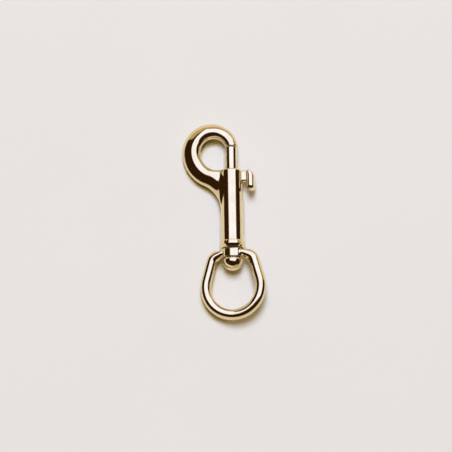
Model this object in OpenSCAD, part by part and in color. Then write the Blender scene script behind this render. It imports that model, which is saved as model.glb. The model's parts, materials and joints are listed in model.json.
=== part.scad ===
// Swivel bolt snap with a round eye, lying at rest on z = 0
// Lengths are millimetres and angles are degrees
// The barrel runs along Y, with the hook towards +Y, the eye towards -Y and the thumb stud on +X

/* [Barrel] */
// Outside diameter of the barrel
barrel_d = 9.4; // [8.8:0.1:10]
// Length of the barrel from the foot of its collar to its top rim
barrel_len = 33.5; // [31.5:0.5:40]
// Radius of the rounded top rim
rim_r = 0.8; // [0.4:0.1:1.2]
// Depth of the hole in the foot that holds the swivel pin
foot_depth = 6; // [4:0.5:8]

/* [Collar] */
// Largest diameter of the flared collar
collar_d = 10.8; // [10.4:0.1:12]
// Diameter of the collar at its top edge
collar_top_d = 10.1; // [9.6:0.1:10.3]
// Length of the collar along the barrel
collar_len = 3.2; // [2.6:0.1:4]
// Height of the small step between the barrel and the collar
collar_step = 0.4; // [0.2:0.1:0.8]
// Height of the turned-in lip under the collar
lip_len = 1.35; // [0.8:0.05:1.6]
// Distance by which that lip turns in
lip_in = 0.75; // [0.4:0.05:1.2]

/* [Hook] */
// Radius of the upper inner curve of the hook loop
loop_r = 5.5; // [5:0.1:7]
// Distance from the barrel axis to the centre of that curve
loop_x = 7.6; // [7.4:0.1:9]
// Height of the loop centre above the top rim of the barrel
loop_rise = 8.3; // [7.6:0.1:8.6]
// Radius of the lower inner curve, the seat of the loop
seat_r = 8.3; // [8:0.1:9]
// Open gap from the top rim of the barrel to the nose
gate_len = 9.9; // [9.4:0.1:10.4]
// Rounding of the nose's end face
nose_edge_r = 0.4; // [0.2:0.1:0.5]
// Width of the hook at its nose
nose_w = 5.2; // [4.8:0.1:5.8]
// Width of the hook at its far arm
arm_w = 7.8; // [6.6:0.1:9]
// Thickness of the hook at its far arm
arm_t = 5.4; // [4.8:0.1:6.4]
// Distance from the inner edge of the far arm to its thickest line
arm_crest = 3.1; // [2.6:0.1:3.6]
// Fullness of the outer flank of the arm, where 2 is a plain ellipse
arm_fullness = 1.4; // [1.25:0.05:2]
// Radius of the fillet that runs the arm out along the barrel
root_r = 12.5; // [10:0.5:15]
// Radius of the fillet between the barrel's side and the web of the hook, at the top rim
web_top_r = 1.5; // [1:0.1:3]
// Radius to which that fillet grows lower down
web_foot_r = 10; // [4:0.5:12]

/* [Bolt] */
// Diameter of the sliding bolt
bolt_d = 5.2; // [4.8:0.1:5.4]
// Travel of the bolt from closed to open
bolt_travel = 5.1; // [4:0.1:6]
// Length of the bolt below the thumb stud
bolt_tail = 7.8; // [5:0.2:9]
// Rounding of the bolt's ends
bolt_edge_r = 0.4; // [0.2:0.1:0.6]
// Radial clearance of the bolt in its bore
bolt_clear = 0.05; // [0.03:0.01:0.1]
// Gap between the closed bolt and the nose
nose_gap = 0.15; // [0.05:0.05:0.4]

/* [Thumb stud] */
// Length of the stud's neck along the barrel
neck_len = 4.8; // [4:0.1:5.2]
// Thickness of the neck where it passes the slot
neck_t = 2.4; // [1.8:0.1:2.6]
// Distance from the top rim of the barrel down to the neck
neck_drop = 0.6; // [0.4:0.1:1.8]
// Clearance of the neck in the slot, each way
slot_clear = 0.15; // [0.1:0.05:0.3]
// Diameter of the spigot pressed into the bolt
spigot_d = 2; // [1.6:0.1:2.4]
// Distance from the barrel axis to the inner face of the thumb fin
fin_in = 6.6; // [6.2:0.1:7.4]
// Thickness of the fin at its free end
fin_t = 3.3; // [2.6:0.1:4]
// Length of the fin along the barrel
fin_len = 8.7; // [7.6:0.1:9.4]
// Width of the fin across the barrel
fin_w = 5; // [4.2:0.1:6.4]
// Rounding of the fin's top edge
fin_top_r = 0.6; // [0.4:0.1:0.8]

/* [Spring] */
// Wire diameter of the spring
spring_wire_d = 0.6; // [0.4:0.05:0.7]
// Outside diameter of the spring
spring_d = 4.6; // [4:0.1:4.7]
// Number of turns, closed ends included
spring_turns = 7; // [5:0.5:9]

/* [Swivel] */
// Diameter of the swivel pin
pin_d = 4.2; // [3.6:0.1:4.6]
// Radius of the pin's domed head
head_r = 4.3; // [3.6:0.1:4.8]
// Rounding of the head's shoulder, above its widest line
head_edge_r = 1.7; // [1.2:0.1:2]
// Length of the head's dome, below its widest line
dome_len = 3.8; // [3:0.1:4.6]
// Radial clearance of the eye on the pin
swivel_clear = 0.08; // [0.04:0.01:0.1]
// End play of the eye at each face of its boss
swivel_play = 0.15; // [0.1:0.05:0.3]

/* [Eye] */
// Clear width inside the eye
eye_w = 19.05; // [17:0.05:24]
// Diameter of the eye's bar
eye_bar_d = 4.6; // [4:0.1:5]
// Distance from the foot of the barrel to the middle of the eye's round end
eye_drop = 16.3; // [15.5:0.1:20]
// Lean of the eye's sides towards its boss
eye_lean = 16; // [11:1:20]
// Width of the straps where they leave the boss
strap_w = 3.7; // [3:0.1:3.7]
// Slope of the straps that run from the boss to the shoulders
strap_slope = 22; // [16:1:26]
// Bend radius at the shoulders, to the middle of the bar
shoulder_r = 3.5; // [2.8:0.1:4.5]
// Width of the oval boss that turns on the pin
boss_w = 8.9; // [8.4:0.1:10]
// Thickness of the oval boss
boss_t = 7; // [6.4:0.1:8]
// Length of the boss along the pin
boss_len = 3.75; // [3.4:0.05:5]
// Rounding of the boss edges
boss_edge_r = 0.3; // [0.2:0.1:1]

/* [Hidden] */
$fn = 64;
brass = [0.82, 0.64, 0.30];
steel = [0.72, 0.73, 0.75];
cut = 1;

barrel_r = barrel_d / 2;
bore_r = bolt_d / 2 + bolt_clear;
bar_r = eye_bar_d / 2;
nose_y = barrel_len + gate_len;
loop_y = barrel_len + loop_rise;

// The hook's outlines are arcs whose centres all lie at loop_y
arm_x = loop_x + loop_r + arm_w;
outer_r = loop_r + (arm_w + nose_w) / 2;
outer_shift = (arm_w - nose_w) / 2;
seat_x = loop_x + loop_r - seat_r;
seat_outer_r = seat_r + arm_w;
root_dx = seat_x - barrel_r - root_r;
root_dy = sqrt(pow(seat_outer_r + root_r, 2) - pow(root_dx, 2));
root_angle = 360 + atan2(-root_dy, root_dx);

// Length of the barrel over which the web's fillet grows
web_run = 6;

// Stations along the hook, from the nose over the crown and down into the barrel
nose_blend = 6;
nose_angle = asin((nose_y - loop_y) / loop_r) + nose_blend;
arm_angle = 180;
buried_angle = 284;
crest_growth = 0.8;
flank_blend = 75;
nose_steps = 3;
end_pace = 0.4;
crown_steps = 28;
seat_steps = 34;
section_sides = 32;

// Slot and bolt heights, measured from the foot of the barrel; the slot is open at the top rim
neck_top = barrel_len - neck_drop;
neck_mid = neck_top - neck_len / 2;
slot_foot = neck_top - neck_len - bolt_travel - slot_clear;
slot_w = neck_t + 2 * slot_clear;
bolt_top = nose_y - nose_gap;
bolt_foot = neck_top - neck_len - bolt_tail;

// The thumb fin's outline, from its round foot to its thinner top
fin_foot_share = 0.44;
fin_foot_r = fin_foot_share * fin_t;
fin_top_share = 0.55;
fin_fall_share = 0.35;
fin_top_fall = fin_fall_share * fin_len;
fin_fullness = 2.8;
fin_steps = 20;
fin_sides = 28;

// The eye's bar, from its round end up to its shoulders
eye_r = eye_w / 2 + bar_r;
boss_top = -swivel_play;
boss_foot = boss_top - boss_len;
strap_y = (boss_top + boss_foot) / 2;
strap_start = [pin_d / 2 + swivel_clear, strap_y];
strap_half = min(strap_w, boss_len) / 2;
strap_bend_share = 1.05;
strap_bend = [strap_bend_share * boss_w / 2, strap_y];
side_start = [eye_r * cos(eye_lean), eye_r * sin(eye_lean) - eye_drop];
side_along = [-sin(eye_lean), cos(eye_lean)];
strap_along = [-cos(strap_slope), sin(strap_slope)];
shoulder_turn = 90 - eye_lean - strap_slope;
side_to_corner = cross(strap_bend - side_start, strap_along) / cross(side_along, strap_along);
corner = side_start + side_to_corner * side_along;
corner_cut = shoulder_r * tan(shoulder_turn / 2);
shoulder_mid = corner - corner_cut * side_along + shoulder_r * [-side_along[1], side_along[0]];
shoulder_steps = 8;
eye_steps = 40;
bar_sides = 24;

// At rest the collar, the far arm and one side of the eye touch the ground
axis_h = max(boss_t, collar_d) / 2;
body_roll = asin((axis_h - arm_t / 2) / (loop_x + loop_r + arm_crest));
eye_turn = asin((axis_h - bar_r) / eye_r);
mid_x = (eye_r * cos(eye_turn) + bar_r - arm_x * cos(body_roll)) / 2;
mid_y = (loop_y + outer_r - eye_drop - eye_r - bar_r) / 2;

function smooth(t) = t * t * (3 - 2 * t);

// Share of the way after equal shares of the steps, which slow to end_pace at the end
function settle(t) = t * (2 - end_pace - (1 - end_pace) * t);

// Inset of a rounded edge at a depth below it
function inset(depth, r) = depth >= r ? 0 : r - sqrt(pow(r, 2) - pow(r - depth, 2));

// Distance along a ray from the loop centre to the hook's outer edge
function crown_reach(a) = sqrt(pow(outer_r, 2) - pow(outer_shift * sin(a), 2)) - outer_shift * cos(a);

// The same from the seat centre, where the outer edge runs into the root fillet
function root_along(a) = root_dx * cos(a) - root_dy * sin(a);
function root_reach(a) = root_along(a) - sqrt(max(0, pow(root_along(a), 2) - pow(root_dx, 2)
    - pow(root_dy, 2) + pow(root_r, 2)));
function seat_reach(a) = a < root_angle ? seat_outer_r : root_reach(a);

// One section: the inner side is half an ellipse and the outer flank runs out thinner
function section(inner, along, width, crest, half_t, fullness) = [
    for (i = [0 : section_sides - 1])
        let (c = cos(360 * i / section_sides), s = sin(360 * i / section_sides),
             bend = c < 0 ? 2 / fullness : 1,
             d = c < 0 ? crest + (width - crest) * pow(-c, bend) : crest * (1 - c),
             h = half_t * sign(s) * pow(abs(s), bend))
        [inner[0] + d * along[0], inner[1] + d * along[1], h]
];

// Section at a depth into the nose, square to the bolt, with the end face rounded
function nose_section(depth) =
    let (y = nose_y + depth, lost = inset(depth, nose_edge_r),
         x0 = sqrt(pow(loop_r, 2) - pow(y - loop_y, 2)) - loop_x + lost,
         x1 = sqrt(pow(outer_r, 2) - pow(y - loop_y, 2)) - loop_x - outer_shift - lost)
    section([x0, y], [1, 0], x1 - x0, (x1 - x0) / 2, nose_w / 2 - lost, 2);

// The crest and the thickness change all the way from nose to arm, the flank only over flank_blend
function crown_section(a) =
    let (w = crown_reach(a) - loop_r, g = smooth((a - nose_angle) / (arm_angle - nose_angle)),
         f = smooth(min(1, (a - nose_angle) / flank_blend)), ray = [cos(a), sin(a)])
    section([-loop_x, loop_y] + loop_r * ray, ray, w, w / 2 + (arm_crest - w / 2) * g,
        nose_w / 2 + (arm_t - nose_w) / 2 * g, 2 + (arm_fullness - 2) * f);

// Radius of the web's fillet at a height, and its rise from where it leaves the web to where it meets the barrel
function web_r(y) = web_top_r
    + (web_foot_r - web_top_r) * smooth(min(1, max(0, (barrel_len - y) / web_run)));
function web_rise(x, y) =
    let (r = web_r(y), start = sqrt(pow(barrel_r + r, 2) - pow(arm_t / 2 + r, 2)),
         d = min(max(x + start, 0), start * r / (barrel_r + r)))
    r - sqrt(pow(r, 2) - pow(d, 2));

function seat_section(a) =
    let (w = seat_reach(a) - seat_r, ray = [cos(a), sin(a)],
         plain = section([-seat_x, loop_y] + seat_r * ray, ray, w,
             arm_crest * pow(w / arm_w, crest_growth), arm_t / 2, arm_fullness))
    [for (p = plain) [p[0], p[1], p[2] * (1 + 2 * web_rise(p[0], p[1]) / arm_t)]];

function hook_sections() = concat(
    [for (i = [0 : nose_steps]) nose_section(nose_edge_r * pow(i / nose_steps, 2))],
    [for (i = [0 : crown_steps])
        crown_section(nose_angle + (arm_angle - nose_angle) * i / crown_steps)],
    [for (i = [1 : seat_steps])
        seat_section(arm_angle + (buried_angle - arm_angle) * settle(i / seat_steps))]);

// Skin over rings of equal size, closed by a flat face at each end
module loft(rings) {
    n = len(rings[0]);
    last = len(rings) - 1;
    sides = [for (k = [0 : last - 1], i = [0 : n - 1])
        let (a = k * n + i, b = k * n + (i + 1) % n) each [[a, a + n, b + n], [a, b + n, b]]];
    start = [[for (i = [0 : n - 1]) i]];
    end = [[for (i = [n - 1 : -1 : 0]) last * n + i]];
    polyhedron(points = [for (ring = rings) each ring], faces = concat(sides, start, end));
}

// Turns a shape built along Z so that it runs along the barrel
module along_barrel(y = 0) {
    translate([0, y, 0]) rotate([-90, 0, 0]) children();
}

// Lays a piece of the body, or the eye, down as it rests
module rest(turn) {
    translate([-mid_x, -mid_y, axis_h]) rotate([0, -turn, 0]) children();
}

// Half profile of a round bar with both ends rounded
module round_bar_profile(radius, length, edge) {
    square([radius - edge, length]);
    translate([0, edge]) square([radius, length - 2 * edge]);
    translate([radius - edge, edge]) intersection() {
        circle(edge);
        translate([0, -edge]) square([edge, edge]);
    }
    translate([radius - edge, length - edge]) intersection() {
        circle(edge);
        square([edge, edge]);
    }
}

// Straight slot shape on the +X side, with round ends, running outwards from the axis
module side_bar(inner, outer, foot, top, width) {
    translate([inner, foot + width / 2, -width / 2]) cube([outer - inner, top - foot - width, width]);
    for (y = [foot + width / 2, top - width / 2])
        translate([inner, y, 0]) rotate([0, 90, 0]) cylinder(d = width, h = outer - inner);
}

module barrel_form() {
    along_barrel() rotate_extrude() {
        translate([0, collar_len]) difference() {
            round_bar_profile(barrel_r, barrel_len - collar_len, rim_r);
            square([barrel_r + cut, rim_r]);
        }
        polygon([[0, 0], [collar_d / 2 - lip_in, 0], [collar_d / 2, lip_len],
            [collar_top_d / 2, collar_len - collar_step], [barrel_r, collar_len],
            [barrel_r, collar_len + rim_r], [0, collar_len + rim_r]]);
    }
}

module hook_body() {
    color(brass) rest(body_roll) difference() {
        union() {
            barrel_form();
            loft(hook_sections());
        }
        along_barrel(foot_depth) cylinder(r = bore_r, h = barrel_len - foot_depth + cut);
        along_barrel(-cut) cylinder(d = pin_d, h = foot_depth + 2 * cut);
        side_bar(0, barrel_r + cut, slot_foot, barrel_len + slot_w, slot_w);
    }
}

module bolt() {
    color(brass) rest(body_roll) difference() {
        along_barrel(bolt_foot) rotate_extrude()
            round_bar_profile(bolt_d / 2, bolt_top - bolt_foot, bolt_edge_r);
        translate([0, neck_mid, 0]) rotate([0, 90, 0]) cylinder(d = spigot_d, h = bolt_d);
    }
}

// One ring of the thumb fin: its outer face falls away towards the top and both ends are rounded
function fin_ring(t) =
    let (up = fin_len * (1 - cos(180 * t)) / 2, down = fin_len - up,
         lost = inset(up, fin_foot_r) + inset(down, fin_top_r),
         fall = (1 - fin_top_share) * pow(1 - min(1, down / fin_top_fall), 2),
         half_x = fin_t * (1 - fall) / 2, corner = 2 / fin_fullness)
    [for (i = [0 : fin_sides - 1])
        let (c = cos(360 * i / fin_sides), s = sin(360 * i / fin_sides))
        [fin_in + half_x + (half_x - lost) * sign(s) * pow(abs(s), corner), neck_top - fin_len + up,
            (fin_w / 2 - lost) * sign(c) * pow(abs(c), corner)]];

module thumb_stud() {
    color(brass) rest(body_roll) {
        translate([0, neck_mid, 0]) rotate([0, 90, 0]) cylinder(d = spigot_d, h = bolt_d / 2 + cut);
        side_bar(bolt_d / 2, fin_in + fin_top_r, neck_top - neck_len, neck_top, neck_t);
        loft([for (k = [0 : fin_steps]) fin_ring(k / fin_steps)]);
    }
}

// Height of the spring's wire along its turns: the end turns lie close, the others are spread
module spring() {
    end_gap = 0.03;
    wire_r = spring_wire_d / 2;
    coil_r = spring_d / 2 - wire_r;
    first = foot_depth + wire_r;
    last = bolt_foot - wire_r;
    end_rise = spring_wire_d + end_gap;
    free_rise = last - first - 2 * end_rise;
    steps_per_turn = 14;
    steps = steps_per_turn * spring_turns;
    wire_sides = 8;
    function rise(t) = first + end_rise * (min(t, 1) + max(0, t - spring_turns + 1))
        + free_rise * min(1, max(0, (t - 1) / (spring_turns - 2)));
    color(steel) rest(body_roll) loft([for (k = [0 : steps])
        let (t = k / steps_per_turn, a = 360 * t)
        [for (i = [0 : wire_sides - 1])
            let (b = 360 * i / wire_sides, r = coil_r + wire_r * cos(b))
            [r * cos(a), rise(t) + wire_r * sin(b), r * sin(a)]]]);
}

// A straight shank, a rounded shoulder below the eye's boss and a dome that is a little flatter than a ball
module swivel_pin() {
    face = boss_foot - swivel_play;
    widest = face - head_edge_r;
    color(brass) rest(body_roll) {
        along_barrel(widest) cylinder(d = pin_d, h = foot_depth - widest);
        along_barrel(widest) rotate_extrude() {
            square([head_r - head_edge_r, head_edge_r]);
            translate([head_r - head_edge_r, 0]) intersection() {
                circle(head_edge_r);
                square(head_edge_r);
            }
        }
        along_barrel(widest) scale([1, 1, dome_len / head_r]) intersection() {
            sphere(head_r);
            translate([0, 0, -head_r]) cylinder(r = head_r + cut, h = head_r);
        }
    }
}

// One ring of the eye's bar, square to the way it runs in the eye's plane
function bar_ring(place, way, half_w) = [
    for (i = [0 : bar_sides - 1])
        let (b = 360 * i / bar_sides, d = half_w * cos(b))
        [place[0] - d * sin(way), place[1] + d * cos(way), bar_r * sin(b)]
];

// Rings along an arc that is followed clockwise
function arc_rings(mid, radius, first, last, steps) = [
    for (i = [0 : steps])
        let (a = first + (last - first) * i / steps)
        bar_ring(mid + radius * [cos(a), sin(a)], a - 90, bar_r)
];

// From one side of the boss out over a shoulder, round the eye and back over the other shoulder
function eye_rings() = concat(
    [bar_ring(strap_start, 0, strap_half), bar_ring(strap_bend, -strap_slope / 2, strap_half)],
    arc_rings(shoulder_mid, shoulder_r, 90 - strap_slope, eye_lean, shoulder_steps),
    arc_rings([0, -eye_drop], eye_r, eye_lean, -180 - eye_lean, eye_steps),
    arc_rings([-shoulder_mid[0], shoulder_mid[1]], shoulder_r, 180 - eye_lean, 90 + strap_slope,
        shoulder_steps),
    [bar_ring([-strap_bend[0], strap_y], strap_slope / 2, strap_half),
        bar_ring([-strap_start[0], strap_y], 0, strap_half)]);

module eye() {
    color(brass) rest(eye_turn) difference() {
        union() {
            along_barrel(boss_foot) scale([1, boss_t / boss_w, 1]) rotate_extrude()
                round_bar_profile(boss_w / 2, boss_len, boss_edge_r);
            loft(eye_rings());
        }
        along_barrel(boss_foot - cut) cylinder(r = pin_d / 2 + swivel_clear, h = boss_len + 2 * cut);
    }
}

hook_body();
bolt();
thumb_stud();
spring();
swivel_pin();
eye();
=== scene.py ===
import json
from math import asin, atan2, cos, pi, radians, sin, sqrt, tan

import bmesh
import bpy
from mathutils import Matrix, Vector


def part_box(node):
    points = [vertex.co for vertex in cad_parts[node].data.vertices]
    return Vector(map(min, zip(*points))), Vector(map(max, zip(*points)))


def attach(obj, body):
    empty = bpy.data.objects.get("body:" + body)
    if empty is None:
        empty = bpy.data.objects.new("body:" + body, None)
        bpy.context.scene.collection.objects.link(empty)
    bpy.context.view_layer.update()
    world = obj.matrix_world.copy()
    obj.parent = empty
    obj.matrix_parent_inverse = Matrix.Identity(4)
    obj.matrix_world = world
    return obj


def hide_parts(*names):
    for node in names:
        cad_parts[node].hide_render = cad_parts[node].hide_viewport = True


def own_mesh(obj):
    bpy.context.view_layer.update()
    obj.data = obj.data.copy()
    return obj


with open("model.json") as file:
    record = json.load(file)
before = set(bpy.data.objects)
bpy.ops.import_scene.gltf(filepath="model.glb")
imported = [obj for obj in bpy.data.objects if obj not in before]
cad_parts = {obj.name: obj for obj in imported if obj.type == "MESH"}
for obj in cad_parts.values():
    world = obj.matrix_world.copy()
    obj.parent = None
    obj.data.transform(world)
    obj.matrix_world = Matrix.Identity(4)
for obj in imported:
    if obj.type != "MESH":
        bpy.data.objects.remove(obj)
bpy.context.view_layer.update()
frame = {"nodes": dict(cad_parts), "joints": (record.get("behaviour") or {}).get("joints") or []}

# Pieces are modelled in millimetres along the barrel's axis, from its foot,
# and then laid down where the frame has them
mm = 0.001
closeBy = 1e-4      # points nearer than this count as one
cutRoom = 1         # how far a cutter reaches past what it cuts
print("frame loaded:", ", ".join(sorted(frame["nodes"])))


def share(part):
    # an eased rise from 0 to 1
    part = min(1, max(0, part))
    return part * part * (3 - 2 * part)


def between(first, last, part):
    return first + (last - first) * part


def fractions(steps):
    return [i / steps for i in range(steps + 1)]


def bow(value, power):
    # a power that keeps the sign
    return (1 if value > 0 else -1) * abs(value) ** power


def inset(depth, radius):
    # how far a rounded edge has drawn in at a depth below it
    return 0 if depth >= radius else radius - sqrt(radius ** 2 - (radius - depth) ** 2)


# Object and mesh helpers

def addObject(name, data):
    thing = bpy.data.objects.new(name, data)
    bpy.context.scene.collection.objects.link(thing)
    return thing


def newObject(name, bm):
    mesh = bpy.data.meshes.new(name)
    bm.to_mesh(mesh)
    bm.free()
    return addObject(name, mesh)


def closeEnds(bm):
    bmesh.ops.holes_fill(bm, edges=[edge for edge in bm.edges if edge.is_boundary], sides=0)
    bmesh.ops.recalc_face_normals(bm, faces=bm.faces[:])


def sweepRings(name, sides, stations, place):
    # one circle, extruded from station to station, each ring set to its own section
    bm = bmesh.new()
    turn = bm.verts.layers.int.new("turn")
    ring = bmesh.ops.create_circle(bm, cap_ends=False, segments=sides, radius=1)["verts"]
    for i, vert in enumerate(ring):
        vert[turn] = i
    edges = bm.edges[:]
    for step, station in enumerate(stations):
        if step:
            grown = bmesh.ops.extrude_edge_only(bm, edges=edges)["geom"]
            ring = [part for part in grown if isinstance(part, bmesh.types.BMVert)]
            edges = [part for part in grown if isinstance(part, bmesh.types.BMEdge)]
        for vert in ring:
            vert.co = place(station, 2 * pi * vert[turn] / sides)
    closeEnds(bm)
    return newObject(name, bm)


def spinProfile(bm, profile, closed=False, steps=128):
    # a half profile of (radius, height) points, spun about the barrel's axis
    verts = [bm.verts.new((radius, height, 0)) for radius, height in profile]
    pairs = list(zip(verts, verts[1:])) + ([(verts[-1], verts[0])] if closed else [])
    edges = [bm.edges.new(pair) for pair in pairs]
    bmesh.ops.spin(bm, geom=verts + edges, cent=(0, 0, 0), axis=(0, 1, 0), angle=2 * pi, steps=steps,
                   use_merge=True)
    bmesh.ops.remove_doubles(bm, verts=bm.verts[:], dist=closeBy)
    bmesh.ops.recalc_face_normals(bm, faces=bm.faces[:])


def spunObject(name, profile):
    bm = bmesh.new()
    spinProfile(bm, profile)
    return newObject(name, bm)


def arc(centre, radius, first, last, steps=8, flat=1):
    turns = [between(first, last, part) for part in fractions(steps)]
    return [(centre[0] + radius * cos(turn), centre[1] + radius * flat * sin(turn)) for turn in turns]


def roundBar(radius, foot, top, edge):
    low = arc((radius - edge, foot + edge), edge, -pi / 2, 0)
    high = arc((radius - edge, top - edge), edge, 0, pi / 2)
    return [(0, foot)] + low + high + [(0, top)]


def easeCorner(before, corner, after, radius, steps=6):
    # the corner of a profile, rounded
    corner = Vector(corner)
    back, on = (Vector(before) - corner).normalized(), (Vector(after) - corner).normalized()
    half = back.angle(on) / 2
    centre = corner + (back + on).normalized() * radius / sin(half)
    start = corner + back * radius / tan(half) - centre
    end = corner + on * radius / tan(half) - centre
    return [tuple(centre + radius * start.slerp(end, part)) for part in fractions(steps)]


def settle(piece):
    # the modifiers' result becomes the mesh
    shown = piece.evaluated_get(bpy.context.evaluated_depsgraph_get())
    old = piece.data
    piece.data = bpy.data.meshes.new_from_object(shown)
    piece.modifiers.clear()
    bpy.data.meshes.remove(old)


def combine(piece, other, operation):
    join = piece.modifiers.new(operation.lower(), "BOOLEAN")
    join.operation = operation
    join.solver = "EXACT"
    join.object = other
    settle(piece)
    bpy.data.objects.remove(other)


def melt(piece, voxel, smoothing):
    # an even skin over the joined forms, eased so that inner corners run out as cast fillets
    skin = piece.modifiers.new("skin", "REMESH")
    skin.mode = "VOXEL"
    skin.voxel_size = voxel
    settle(piece)
    bm = bmesh.new()
    bm.from_mesh(piece.data)
    for _ in range(smoothing):
        bmesh.ops.smooth_vert(bm, verts=bm.verts[:], factor=0.5,
                              use_axis_x=True, use_axis_y=True, use_axis_z=True)
    bm.to_mesh(piece.data)
    bm.free()


def finishPiece(piece, roll, body, node, material):
    piece.data.transform(layDown(roll))
    piece.data.shade_smooth()
    piece.data.materials.clear()
    piece.data.materials.append(material)
    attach(piece, body)
    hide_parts(node)
    print("made", piece.name, "with", len(piece.data.polygons), "faces")


# Shader helpers

class Wire:
    # a node's output that can stand in a sum
    def __init__(self, finish, socket):
        self.finish = finish
        self.socket = socket

    def __add__(self, other):
        return self.finish.maths("ADD", self, other)

    def __radd__(self, other):
        return self.finish.maths("ADD", other, self)

    def __sub__(self, other):
        return self.finish.maths("SUBTRACT", self, other)

    def __rsub__(self, other):
        return self.finish.maths("SUBTRACT", other, self)

    def __mul__(self, other):
        return self.finish.maths("MULTIPLY", self, other)

    def __rmul__(self, other):
        return self.finish.maths("MULTIPLY", other, self)

    def __truediv__(self, other):
        return self.finish.maths("DIVIDE", self, other)

    def __rtruediv__(self, other):
        return self.finish.maths("DIVIDE", other, self)

    def __neg__(self):
        return self.finish.maths("MULTIPLY", -1, self)

    def __abs__(self):
        return self.finish.maths("ABSOLUTE", self)


class Finish:
    # one material or world, built node by node
    def __init__(self, owner):
        owner.use_nodes = True
        self.owner = owner
        self.tree = owner.node_tree
        self.tree.nodes.clear()

    def add(self, kind, settings=None, sockets=None, out=0):
        node = self.tree.nodes.new(kind)
        for name, value in (settings or {}).items():
            setattr(node, name, value)
        for name, value in (sockets or {}).items():
            if isinstance(value, Wire):
                self.tree.links.new(value.socket, node.inputs[name])
            else:
                node.inputs[name].default_value = value
        return Wire(self, node.outputs[out]) if node.outputs else node

    def maths(self, operation, first, second=0):
        return self.add("ShaderNodeMath", {"operation": operation}, {0: first, 1: second})

    def grain(self, scale, stretch=(1, 1, 1), detail=2.0, roughness=0.5, seed=(0, 0, 0)):
        # noise in the piece's own coordinates, from 0 to 1
        place = self.add("ShaderNodeTexCoord", out="Object")
        place = self.add("ShaderNodeMapping", {}, {"Vector": place, "Scale": stretch, "Location": seed})
        return self.add("ShaderNodeTexNoise", {}, {"Vector": place, "Scale": scale, "Detail": detail,
                                                   "Roughness": roughness})

    def span(self, value, low, high, first=0.0, last=1.0):
        return self.add("ShaderNodeMapRange", {"interpolation_type": "SMOOTHSTEP"},
                        {"Value": value, "From Min": low, "From Max": high, "To Min": first, "To Max": last})

    def blend(self, factor, first, second):
        # inputs 6 and 7 and output 2 of this node are its colours
        return self.add("ShaderNodeMix", {"data_type": "RGBA"}, {0: factor, 6: first, 7: second}, out=2)

    def bump(self, height, depth, strength=1.0, over=None):
        sockets = {"Strength": strength, "Distance": depth, "Height": height}
        return self.add("ShaderNodeBump", {}, {**sockets, "Normal": over} if over else sockets)

    def surface(self, sockets):
        shader = self.add("ShaderNodeBsdfPrincipled", {}, sockets)
        self.add("ShaderNodeOutputMaterial", {}, {"Surface": shader})
        return self.owner


# Brass: polished, with faint casting waves, fine scratches along the snap and tiny tarnished pits

castBrass = {
    "colour": (0.88, 0.735, 0.44, 1), "warm": (0.84, 0.67, 0.37, 1), "tarnish": (0.42, 0.27, 0.11, 1),
    "polish": 0.05, "dull": 0.11, "waves": 230, "waveDepth": 0.000016, "scratchDepth": 0.000002,
}
turnedBrass = {
    "colour": (0.89, 0.75, 0.46, 1), "warm": (0.86, 0.69, 0.40, 1), "tarnish": (0.42, 0.27, 0.11, 1),
    "polish": 0.045, "dull": 0.10, "waves": 160, "waveDepth": 0.000008, "scratchDepth": 0.000002,
}
brassGrain = {
    "patches": 140, "patchSpan": (0.35, 0.7), "fine": 1400, "specks": 4200, "pitSpan": (0.72, 0.80),
    "pitStain": 0.35, "scratches": 2600, "along": (1, 0.08, 1), "scratchSpan": (0.6, 0.75),
    "scratchDull": 0.05,
}


def brassFinish(name, look):
    grain = brassGrain
    finish = Finish(bpy.data.materials.new(name))
    patches = finish.grain(grain["patches"], detail=3)
    fine = finish.grain(grain["fine"], detail=4, roughness=0.6)
    scratches = finish.grain(grain["scratches"], stretch=grain["along"], detail=3, roughness=0.7)
    pits = finish.span(finish.grain(grain["specks"], detail=1, seed=(3, 1, 2)), *grain["pitSpan"])
    tone = finish.blend(finish.span(patches, *grain["patchSpan"]), look["colour"], look["warm"])
    tone = finish.blend(pits * grain["pitStain"], tone, look["tarnish"])
    wear = finish.span((patches + fine) / 2, *grain["patchSpan"])
    scored = finish.span(scratches, *grain["scratchSpan"])
    roughness = between(look["polish"], look["dull"], wear) + grain["scratchDull"] * scored
    waves = finish.bump(finish.grain(look["waves"], detail=1, roughness=0.3), look["waveDepth"])
    shaped = finish.bump(scratches - pits, look["scratchDepth"], over=waves)
    return finish.surface({"Base Color": tone, "Metallic": 1.0, "Roughness": roughness, "Normal": shaped})


# Spring steel: drawn wire with darker stains

springSteel = {
    "colour": (0.62, 0.62, 0.64, 1), "dark": (0.34, 0.33, 0.33, 1), "polish": 0.2, "dull": 0.4,
    "drawn": 2200, "drawnSpan": (0.3, 0.7), "drawnDepth": 0.000006, "drawnStrength": 0.6,
    "stain": 500, "stainSpan": (0.4, 0.7),
}


def steelFinish(name, look):
    finish = Finish(bpy.data.materials.new(name))
    drawn = finish.grain(look["drawn"], detail=3)
    stain = finish.grain(look["stain"], detail=3, seed=(1, 4, 2))
    tone = finish.blend(finish.span(stain, *look["stainSpan"]), look["colour"], look["dark"])
    roughness = between(look["polish"], look["dull"], finish.span(drawn, *look["drawnSpan"]))
    shaped = finish.bump(drawn, look["drawnDepth"], look["drawnStrength"])
    return finish.surface({"Base Color": tone, "Metallic": 1.0, "Roughness": roughness, "Normal": shaped})


cast = brassFinish("cast_brass", castBrass)
turned = brassFinish("turned_brass", turnedBrass)
steel = steelFinish("spring_steel", springSteel)
print("finishes ready")


# Barrel: spun from its profile, with a crisp flared collar at its foot

barrelSizes = {
    "diameter": 9.4, "length": 33.5, "rim": 0.8, "boreRoom": 0.1, "footDepth": 6.0, "footSunk": 0.3,
    "collar": 10.8, "collarTop": 10.1, "collarLength": 3.2, "collarStep": 0.4, "collarEdge": 0.16,
    "collarSunk": 0.1, "lipHeight": 1.35, "lipIn": 0.75, "slotReach": 8, "slotSides": 48,
}
barrelRadius = barrelSizes["diameter"] / 2


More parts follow.
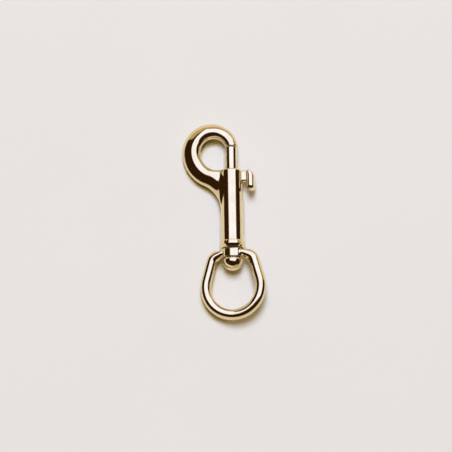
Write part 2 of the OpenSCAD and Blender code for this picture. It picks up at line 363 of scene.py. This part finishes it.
def barrelProfile():
    size = barrelSizes
    rim = arc((barrelRadius - size["rim"], size["length"] - size["rim"]), size["rim"], 0, pi / 2)
    foot = [(0, size["footSunk"]), (barrelRadius - size["lipIn"], size["footSunk"])]
    return foot + [(barrelRadius, size["lipHeight"])] + rim + [(0, size["length"])]


def collarProfile(hole):
    size = barrelSizes
    wide, top = size["collar"] / 2, size["collarTop"] / 2
    rise = size["collarLength"] - size["collarStep"]
    corners = [(hole, 0), (wide - size["lipIn"], 0), (wide, size["lipHeight"]), (top, rise),
               (barrelRadius - size["collarSunk"], size["collarLength"])]
    eased = [easeCorner(*corners[i:i + 3], size["collarEdge"]) for i in range(3)]
    return corners[:1] + sum(eased, []) + corners[-1:] + [(hole, size["collarLength"])]


def slotCutter():
    # a round-ended slot that runs out of the barrel's top, so that the stud can be put in
    size = barrelSizes
    width = studSizes["neckThick"] + 2 * studSizes["slotRoom"]
    end = neckFoot - boltSizes["travel"] - studSizes["slotRoom"] + width / 2
    place = Matrix.Translation((size["slotReach"] / 2, end, 0)) @ Matrix.Rotation(pi / 2, 4, "Y")
    bm = bmesh.new()
    bmesh.ops.create_cone(bm, cap_ends=True, segments=size["slotSides"], depth=size["slotReach"],
                          radius1=width / 2, radius2=width / 2, matrix=place)
    upper = [vert for vert in bm.verts if vert.co.y > end + closeBy]
    bmesh.ops.translate(bm, verts=upper, vec=(0, size["length"] + width - end, 0))
    return newObject("slot", bm)


# Hook: a tapered section swept from the nose over the crown and down into the barrel's side

hookSizes = {
    "loopRadius": 5.5, "loopAcross": 7.6, "loopRise": 8.3, "seatRadius": 8.3, "gate": 9.9, "noseEdge": 0.4,
    "noseWidth": 5.2, "armWidth": 7.8, "armThick": 5.4, "crest": 3.1, "crestGrowth": 1.05, "fullness": 1.4,
    "rootRadius": 12.5, "webTop": 1.5, "webFoot": 8.0, "webRun": 6.0, "webRim": 0.8, "webEdge": 1.2,
    "webFrom": radians(235), "webTo": radians(268), "webGain": 0.3, "webSquare": 1.5,
    "noseBlend": radians(6), "flankBlend": radians(75), "buried": radians(284),
    "sides": 72, "noseSteps": 6, "crownSteps": 90, "seatSteps": 90, "voxel": 0.19, "smoothing": 7,
}
noseY = barrelSizes["length"] + hookSizes["gate"]
loopY = barrelSizes["length"] + hookSizes["loopRise"]
outerRadius = hookSizes["loopRadius"] + (hookSizes["armWidth"] + hookSizes["noseWidth"]) / 2
outerShift = (hookSizes["armWidth"] - hookSizes["noseWidth"]) / 2
seatAcross = hookSizes["loopAcross"] + hookSizes["loopRadius"] - hookSizes["seatRadius"]
seatOuter = hookSizes["seatRadius"] + hookSizes["armWidth"]
rootX = seatAcross - barrelRadius - hookSizes["rootRadius"]
rootY = sqrt((seatOuter + hookSizes["rootRadius"]) ** 2 - rootX ** 2)
rootAngle = 2 * pi + atan2(-rootY, rootX)
noseAngle = asin((noseY - loopY) / hookSizes["loopRadius"]) + hookSizes["noseBlend"]


def hookSection(inner, along, width, crest, halfThick, fullness, turn, innerFullness=2):
    # a round inner side, and a thinner flank that runs out to the outer edge; a fullness of 2 is an ellipse
    inward = cos(turn)
    bend = 2 / (fullness if inward < 0 else innerFullness)
    deep = between(crest, width, abs(inward) ** bend) if inward < 0 else crest * (1 - inward ** bend)
    aside = halfThick * bow(sin(turn), bend)
    return Vector((inner[0] + deep * along[0], inner[1] + deep * along[1], aside))


def nosePlace(depth, turn):
    size = hookSizes
    rise = noseY + depth - loopY
    lost = inset(depth, size["noseEdge"])
    near = sqrt(size["loopRadius"] ** 2 - rise ** 2) - size["loopAcross"] + lost
    far = sqrt(outerRadius ** 2 - rise ** 2) - size["loopAcross"] - outerShift - lost
    half = size["noseWidth"] / 2 - lost
    return hookSection((near, noseY + depth), (1, 0), far - near, (far - near) / 2, half, 2, turn)


def crownPlace(angle, turn):
    size = hookSizes
    ray = (cos(angle), sin(angle))
    reach = sqrt(outerRadius ** 2 - (outerShift * ray[1]) ** 2) - outerShift * ray[0]
    width = reach - size["loopRadius"]
    grown = share((angle - noseAngle) / (pi - noseAngle))
    flank = share((angle - noseAngle) / size["flankBlend"])
    inner = (size["loopRadius"] * ray[0] - size["loopAcross"], size["loopRadius"] * ray[1] + loopY)
    crest = between(width / 2, size["crest"], grown)
    half = between(size["noseWidth"], size["armThick"], grown) / 2
    return hookSection(inner, ray, width, crest, half, between(2, size["fullness"], flank), turn)


def seatPlace(angle, turn):
    size = hookSizes
    ray = (cos(angle), sin(angle))
    reach = seatOuter
    if angle > rootAngle:
        along = rootX * ray[0] - rootY * ray[1]
        reach = along - sqrt(max(0, along ** 2 - rootX ** 2 - rootY ** 2 + size["rootRadius"] ** 2))
    width = reach - size["seatRadius"]
    inner = (size["seatRadius"] * ray[0] - seatAcross, size["seatRadius"] * ray[1] + loopY)
    crest = size["crest"] * (width / size["armWidth"]) ** size["crestGrowth"]
    # the web grows thicker and squarer at its rim towards the barrel
    near = share((angle - size["webFrom"]) / (size["webTo"] - size["webFrom"]))
    half = size["armThick"] / 2 + size["webGain"] * near
    squared = 2 + size["webSquare"] * near
    spot = hookSection(inner, ray, width, crest, half, size["fullness"], turn, squared)
    # the flat web rises to the barrel in a fillet that grows downwards
    height = abs(spot.z)
    down = share((barrelSizes["length"] - size["webRim"] - spot.y) / size["webRun"])
    web = between(size["webTop"], size["webFoot"], down)
    start = sqrt((barrelRadius + web) ** 2 - (height + web) ** 2)
    deep = min(max(spot.x + start, 0), start * web / (barrelRadius + web))
    rise = (web - sqrt(web ** 2 - deep ** 2)) * share(height / size["webEdge"])
    spot.z += rise if spot.z > 0 else -rise
    return spot


def hookStations():
    size = hookSizes
    nose = [(nosePlace, size["noseEdge"] * part ** 2) for part in fractions(size["noseSteps"])]
    crown = [(crownPlace, between(noseAngle, pi, part)) for part in fractions(size["crownSteps"])]
    seat = [(seatPlace, between(pi, size["buried"], part)) for part in fractions(size["seatSteps"])[1:]]
    return nose + crown + seat


def hookPlace(station, turn):
    place, along = station
    return place(along, turn)


def makeHookBody():
    size = barrelSizes
    body = spunObject("hook_body_cast", barrelProfile())
    combine(body, sweepRings("hook_sweep", hookSizes["sides"], hookStations(), hookPlace), "UNION")
    bore, hole = boltSizes["diameter"] / 2 + size["boreRoom"], pinSizes["diameter"] / 2
    top = size["length"] + cutRoom
    combine(body, spunObject("bore", [(0, -cutRoom), (hole, -cutRoom), (hole, size["footDepth"]),
                                      (bore, size["footDepth"]), (bore, top), (0, top)]), "DIFFERENCE")
    combine(body, slotCutter(), "DIFFERENCE")
    melt(body, hookSizes["voxel"], hookSizes["smoothing"])
    # the collar keeps its turned edges
    bm = bmesh.new()
    spinProfile(bm, collarProfile(hole), closed=True)
    bm.from_mesh(body.data)
    bm.to_mesh(body.data)
    bm.free()
    finishPiece(body, bodyRoll, "snap", "hook_body", cast)


# Thumb stud: a flat neck that passes the slot, and a thumb fin

studSizes = {
    "neckLength": 4.8, "neckThick": 2.4, "neckDrop": 0.6, "neckEdge": 0.9, "neckEdgeSteps": 8,
    "slotRoom": 0.15, "finInner": 6.6, "finThick": 3.3, "finLength": 8.7, "finWidth": 5.0, "topEdge": 0.6,
    "footShare": 0.44, "footRound": 2.3, "topShare": 0.55, "fallShare": 0.35, "fullness": 2.8,
    "sides": 48, "steps": 48, "voxel": 0.13, "smoothing": 6,
}
neckTop = barrelSizes["length"] - studSizes["neckDrop"]
neckFoot = neckTop - studSizes["neckLength"]


def finPlace(station, turn):
    size = studSizes
    up = size["finLength"] * (1 - cos(pi * station)) / 2
    down = size["finLength"] - up
    top = inset(down, size["topEdge"])
    lost = inset(up, size["footShare"] * size["finThick"]) + top
    thinned = inset(up, size["footRound"]) + top
    fall = (1 - size["topShare"]) * (1 - min(1, down / (size["fallShare"] * size["finLength"]))) ** 2
    half = size["finThick"] * (1 - fall) / 2
    corner = 2 / size["fullness"]
    return Vector((size["finInner"] + half + (half - lost) * bow(sin(turn), corner),
                   neckTop - size["finLength"] + up,
                   (size["finWidth"] / 2 - thinned) * bow(cos(turn), corner)))


def makeStud():
    size = studSizes
    stud = sweepRings("thumb_stud_cast", size["sides"], fractions(size["steps"]), finPlace)
    inner, outer = boltSizes["diameter"] / 2, size["finInner"] + size["topEdge"]
    middle = Vector(((inner + outer) / 2, (neckTop + neckFoot) / 2, 0))
    block = Vector((outer - inner, size["neckLength"], size["neckThick"]))
    bm = bmesh.new()
    bmesh.ops.create_cube(bm, size=1, matrix=Matrix.LocRotScale(middle, None, block))
    long = [edge for edge in bm.edges if abs(edge.verts[0].co.x - edge.verts[1].co.x) > closeBy]
    bmesh.ops.bevel(bm, geom=long, offset=size["neckEdge"], affect="EDGES", segments=size["neckEdgeSteps"],
                    profile=0.5, material=-1)
    combine(stud, newObject("neck", bm), "UNION")
    melt(stud, size["voxel"], size["smoothing"])
    finishPiece(stud, bodyRoll, "sliding_bolt", "thumb_stud", cast)


# Bolt: a turned rod

boltSizes = {"diameter": 5.2, "travel": 5.1, "tail": 7.8, "edge": 0.4, "noseGap": 0.15}
boltFoot = neckFoot - boltSizes["tail"]
boltTop = noseY - boltSizes["noseGap"]


def makeBolt():
    profile = roundBar(boltSizes["diameter"] / 2, boltFoot, boltTop, boltSizes["edge"])
    bolt = spunObject("bolt_turned", profile)
    finishPiece(bolt, bodyRoll, "sliding_bolt", "bolt", turned)


# Spring: a round wire spun up a helix, with a close turn at each end

springSizes = {"wire": 0.6, "diameter": 4.6, "turns": 7, "endGap": 0.03, "stepsPerTurn": 40, "sides": 12}


def makeSpring():
    size = springSizes
    wire = size["wire"] / 2
    coil = size["diameter"] / 2 - wire
    length = boltFoot - barrelSizes["footDepth"]
    endRise = size["wire"] + size["endGap"]
    freeTurns = size["turns"] - 2
    freeRise = (length - size["wire"] - 2 * endRise) / freeTurns
    bm = bmesh.new()
    start = Matrix.Translation((coil, barrelSizes["footDepth"] + wire, 0))
    ring = bmesh.ops.create_circle(bm, cap_ends=False, segments=size["sides"], radius=wire, matrix=start)
    geom = ring["verts"] + bm.edges[:]
    for turns, rise in ((1, endRise), (freeTurns, freeRise), (1, endRise)):
        steps = turns * size["stepsPerTurn"]
        lift = (0, rise / size["stepsPerTurn"], 0)
        geom = bmesh.ops.spin(bm, geom=geom, cent=(0, 0, 0), axis=(0, 1, 0), dvec=lift,
                              angle=-2 * pi * turns, steps=steps)["geom_last"]
    bmesh.ops.remove_doubles(bm, verts=bm.verts[:], dist=closeBy)
    closeEnds(bm)
    spring = newObject("spring_wire", bm)
    finishPiece(spring, bodyRoll, "snap", "spring", steel)
    1 - boltSizes["travel"] / length
    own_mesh(spring)


# Swivel pin: a turned shank with a rounded shoulder and a domed head

pinSizes = {
    "diameter": 4.2, "headRadius": 4.3, "shoulder": 1.3, "domeHeight": 4.2, "clear": 0.08, "play": 0.15,
    "domeSteps": 40, "shoulderSteps": 20,
}


def makePin():
    size = pinSizes
    shank, head, edge = size["diameter"] / 2, size["headRadius"], size["shoulder"]
    face = bossFoot - size["play"]
    dome = arc((0, face - edge), head, -pi / 2, 0, size["domeSteps"], flat=size["domeHeight"] / head)
    shoulder = arc((head - edge, face - edge), edge, 0, pi / 2, size["shoulderSteps"])
    top = barrelSizes["footDepth"]
    pin = spunObject("swivel_pin_turned", dome + shoulder[1:] + [(shank, face), (shank, top), (0, top)])
    finishPiece(pin, bodyRoll, "snap", "swivel_pin", turned)


# Eye: one bar bent round from shoulder to shoulder, cast on an oval boss

eyeSizes = {
    "width": 19.05, "bar": 4.6, "drop": 16.3, "lean": radians(16), "shoulder": 3.5,
    "strapSlope": radians(22), "strapWidth": 3.7, "strapBendShare": 1.05,
    "bossWidth": 8.9, "bossThick": 7.0, "bossLength": 3.75, "bossEdge": 0.3,
    "sides": 48, "shoulderSteps": 24, "roundSteps": 60, "strapSteps": 12, "voxel": 0.14, "smoothing": 4,
}
barRadius = eyeSizes["bar"] / 2
eyeRadius = eyeSizes["width"] / 2 + barRadius
bossTop = -pinSizes["play"]
bossFoot = bossTop - eyeSizes["bossLength"]
pinHole = pinSizes["diameter"] / 2 + pinSizes["clear"]
strapY = (bossTop + bossFoot) / 2
strapStart = Vector((pinHole, strapY))
strapBend = Vector((eyeSizes["strapBendShare"] * eyeSizes["bossWidth"] / 2, strapY))
strapAlong = Vector((-cos(eyeSizes["strapSlope"]), sin(eyeSizes["strapSlope"])))
sideStart = Vector((eyeRadius * cos(eyeSizes["lean"]), eyeRadius * sin(eyeSizes["lean"]) - eyeSizes["drop"]))
sideAlong = Vector((-sin(eyeSizes["lean"]), cos(eyeSizes["lean"])))
shoulderTurn = pi / 2 - eyeSizes["lean"] - eyeSizes["strapSlope"]
toCorner = (strapBend - sideStart).cross(strapAlong) / sideAlong.cross(strapAlong)
shoulderMid = (sideStart + (toCorner - eyeSizes["shoulder"] * tan(shoulderTurn / 2)) * sideAlong
               + eyeSizes["shoulder"] * Vector((-sideAlong.y, sideAlong.x)))


def eyeStations():
    # place, heading and half width of the bar, from one side of the boss round to the other
    size = eyeSizes
    slope, narrow = size["strapSlope"], size["strapWidth"] / 2
    half = [(strapStart, 0, narrow), (strapBend, -slope / 2, narrow)]
    strapEnd = shoulderMid + size["shoulder"] * Vector((sin(slope), cos(slope)))
    for part in fractions(size["strapSteps"])[1:-1]:
        half.append((strapBend.lerp(strapEnd, part), -slope, between(narrow, barRadius, part)))
    rounds = ((shoulderMid, size["shoulder"], pi / 2 - slope, size["lean"], size["shoulderSteps"]),
              (Vector((0, -size["drop"])), eyeRadius, size["lean"], -pi / 2, size["roundSteps"]))
    for centre, radius, first, last, steps in rounds:
        for turn in [between(first, last, part) for part in fractions(steps)]:
            half.append((centre + radius * Vector((cos(turn), sin(turn))), turn - pi / 2, barRadius))
    mirrored = [(Vector((-place.x, place.y)), -heading, width) for place, heading, width in half[-2::-1]]
    return half + mirrored


def eyePlace(station, turn):
    place, heading, width = station
    across = width * cos(turn)
    return Vector((place.x - across * sin(heading), place.y + across * cos(heading), barRadius * sin(turn)))


def makeEye():
    size = eyeSizes
    eye = sweepRings("eye_cast", size["sides"], eyeStations(), eyePlace)
    bm = bmesh.new()
    spinProfile(bm, roundBar(size["bossWidth"] / 2, bossFoot, bossTop, size["bossEdge"]))
    bmesh.ops.scale(bm, verts=bm.verts[:], vec=(1, 1, size["bossThick"] / size["bossWidth"]))
    combine(eye, newObject("boss", bm), "UNION")
    low, high = bossFoot - cutRoom, bossTop + cutRoom
    hole = spunObject("pin_hole", [(0, low), (pinHole, low), (pinHole, high), (0, high)])
    combine(eye, hole, "DIFFERENCE")
    melt(eye, size["voxel"], size["smoothing"])
    finishPiece(eye, eyeTurn, "swivel_eye", "eye", cast)


# How the body and the eye lie: rolled over until the far arm and one side of the eye touch the floor

swivel = next(joint for joint in frame["joints"] if joint["name"] == "eye_swivel")
axisX, _, axisHeight = swivel["pos_m"]
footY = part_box("hook_body")[0].y
armReach = hookSizes["loopAcross"] + hookSizes["loopRadius"] + hookSizes["crest"]
bodyRoll = asin((axisHeight / mm - hookSizes["armThick"] / 2) / armReach)
eyeTurn = asin((axisHeight / mm - barRadius) / eyeRadius)


def layDown(roll):
    place = Matrix.Translation((axisX, footY, axisHeight))
    return place @ Matrix.Rotation(-roll, 4, "Y") @ Matrix.Scale(mm, 4)


makeHookBody()
makeStud()
makeBolt()
makeSpring()
makePin()
makeEye()


# Floor: pale paper whose colour holds a painted shade, deep golden, close to the brass on the side away from
# the light

# from here on, lengths are in metres
floorLook = {
    "half": 1.5, "colour": (0.825, 0.797, 0.778, 1), "roughness": 0.85, "specular": 0.2,
    "fibre": 900, "cloud": 12, "cloudShare": 0.6, "mottleSpan": (0.3, 0.7), "mottle": 0.985,
    "paintedShadeReach": 0.0048, "paintedShadeLean": radians(76), "paintedShadeStops": (0.52, 0.63, 0.78), "paintedShadeSamples": 16,
    "paintedShadeDark": (0.06, 0.034, 0.003, 1), "paintedShadeMid": (0.56, 0.45, 0.17, 1),
}


def makeFloor():
    look = floorLook
    bm = bmesh.new()
    bmesh.ops.create_grid(bm, x_segments=1, y_segments=1, size=look["half"])
    floor = newObject("floor", bm)
    finish = Finish(bpy.data.materials.new("paper_floor_painted_shade"))
    fibre = finish.grain(look["fibre"], detail=3)
    cloud = finish.grain(look["cloud"], detail=2)
    mottle = fibre * (1 - look["cloudShare"]) + cloud * look["cloudShare"]
    darker = [channel * look["mottle"] for channel in look["colour"][:3]] + [1]
    tone = finish.blend(finish.span(mottle, *look["mottleSpan"]), look["colour"], darker)
    # painted shade: ambient occlusion leaning north darkens the paper's colour to a golden olive close to
    # the brass, standing in for its contact shadow and warm bounce light
    lean = finish.add("ShaderNodeCombineXYZ", {}, {1: sin(look["paintedShadeLean"]), 2: cos(look["paintedShadeLean"])})
    clear = finish.add("ShaderNodeAmbientOcclusion", {"samples": look["paintedShadeSamples"]},
                       {"Distance": look["paintedShadeReach"], "Normal": lean}, out="AO")
    low, mid, high = look["paintedShadeStops"]
    paintedShade = finish.blend(finish.span(clear, low, mid), look["paintedShadeDark"], look["paintedShadeMid"])
    tone = finish.blend(finish.span(clear, mid, high), paintedShade, tone)
    floor.data.materials.append(finish.surface({"Base Color": tone, "Roughness": look["roughness"],
                                                "Specular IOR Level": look["specular"]}))


# Lamps: a broad cool softbox that only the metal mirrors, and a smaller key light that only the floor takes

softbox = {
    "north": radians(27), "east": radians(4), "away": 2.0, "long": radians(37), "wide": radians(36),
    "radiance": 1.05, "colour": (0.87, 1.12, 1.85),
}
keyLight = {
    "north": radians(17), "east": 0, "away": 4.0, "long": radians(14), "wide": radians(9),
    "radiance": 17.1, "colour": (0.87, 0.965, 1.16),
}


def setPlace(thing, place, turn):
    thing.location = place
    thing.rotation_mode = "QUATERNION"
    thing.rotation_quaternion = turn


def lampWay(size):
    north, east = size["north"], size["east"]
    return Vector((sin(east), sin(north) * cos(east), cos(north) * cos(east)))


def makeLight(name, size):
    way, away = lampWay(size), size["away"]
    lamp = bpy.data.lights.new(name, "AREA")
    lamp.shape = "RECTANGLE"
    lamp.size = 2 * away * tan(size["wide"])
    lamp.size_y = 2 * away * tan(size["long"])
    lamp.energy = size["radiance"] * pi * lamp.size * lamp.size_y
    lamp.color = size["colour"]
    light = addObject(name, lamp)
    setPlace(light, way * away, (-way).to_track_quat("-Z", "Y"))
    return light


# Room: dim, with a pale wall beyond the hook, ground swept up beyond the eye and a glow round the softbox

room = {
    "dark": (0.031, 0.0132, 0.0042, 1), "soft": 0.02,
    "wall": {"colour": (0.60, 0.46, 0.28, 1), "top": radians(24), "mid": radians(8),
             "sides": (radians(59), radians(63))},
    "sweep": {"colour": (0.74, 0.70, 0.62, 1), "top": radians(18), "mid": 0,
              "sides": (radians(30), radians(88))},
    "glow": (0.20, 0.085, 0.025, 1), "glowReach": 1.4,
    "fill": (0.38, 0.27, 0.045, 1), "fillLow": radians(35),
}


def makeRoom():
    world = bpy.data.worlds.new("studio")
    bpy.context.scene.world = world
    finish = Finish(world)
    soft = room["soft"]
    way = finish.add("ShaderNodeTexCoord", out="Generated")
    x, y, z = (finish.add("ShaderNodeSeparateXYZ", {}, {0: way}, out=i) for i in range(3))
    tone = room["dark"]
    # the wall and the sweep are lower towards their sides
    for form, facing in ((room["wall"], y), (room["sweep"], -y)):
        bearing = finish.maths("ARCTAN2", x, facing)
        ahead = finish.span(abs(bearing - form["mid"]), *form["sides"], 1.0, 0.0)
        cover = finish.span(z - sin(form["top"]) * ahead, -soft, soft, 1.0, 0.0)
        tone = finish.blend(cover, tone, form["colour"])
    # the glow fades with the distance from the softbox's outline, which has the value 1
    facing = (-lampWay(softbox)).to_track_quat("-Z", "Y").to_matrix()
    side, rise, depth = (finish.add("ShaderNodeVectorMath", {"operation": "DOT_PRODUCT"},
                                    {0: way, 1: facing.col[i]}, out="Value") for i in range(3))
    outside = finish.maths("MAXIMUM", abs(side) / (depth * tan(softbox["wide"])),
                           abs(rise) / (depth * tan(softbox["long"])))
    inFront = finish.maths("GREATER_THAN", depth, 0)
    glow = finish.span(outside, 1.0, room["glowReach"], 1.0, 0.0) * inFront
    tone = finish.blend(glow, tone, room["glow"])
    # what falls on the floor from the room above is warmer and brighter than what the metal mirrors
    spread = finish.add("ShaderNodeLightPath", out="Is Diffuse Ray")
    low = sin(room["fillLow"])
    tone = finish.blend(spread * finish.span(z, low - soft, low + soft), tone, room["fill"])
    shine = finish.add("ShaderNodeBackground", {}, {"Color": tone, "Strength": 1.0})
    finish.add("ShaderNodeOutputWorld", {}, {"Surface": shine})


makeFloor()
makeLight("softbox", softbox).visible_diffuse = False
makeLight("key", keyLight).visible_glossy = False
makeRoom()
print("studio ready")


# Camera: almost overhead, from the eye's end

view = {
    "imageSide": 452, "pixelsPerMm": 2.381, "originAt": (224.0, 223.7), "elevation": radians(78),
    "roll": radians(0.9), "away": 1.2, "sensor": 36, "near": 0.01, "far": 20,
}


def makeCamera():
    tilt = view["elevation"]
    back = Vector((0, -cos(tilt), sin(tilt)))
    turn = (-back).to_track_quat("-Z", "Y").to_matrix() @ Matrix.Rotation(-view["roll"], 3, "Z")
    half = view["imageSide"] / 2
    pixel = mm / view["pixelsPerMm"]
    across, down = ((half - at) * pixel for at in view["originAt"])
    target = turn.col[0] * across - turn.col[1] * down
    lens = bpy.data.cameras.new("camera")
    lens.sensor_width = view["sensor"]
    lens.lens = lens.sensor_width / 2 * view["away"] / (half * pixel)
    lens.clip_start = view["near"]
    lens.clip_end = view["far"]
    camera = addObject("camera", lens)
    setPlace(camera, target + back * view["away"], turn.to_quaternion())
    bpy.context.scene.camera = camera


makeCamera()
bpy.context.scene.view_settings.view_transform = "Standard"
print("camera ready")
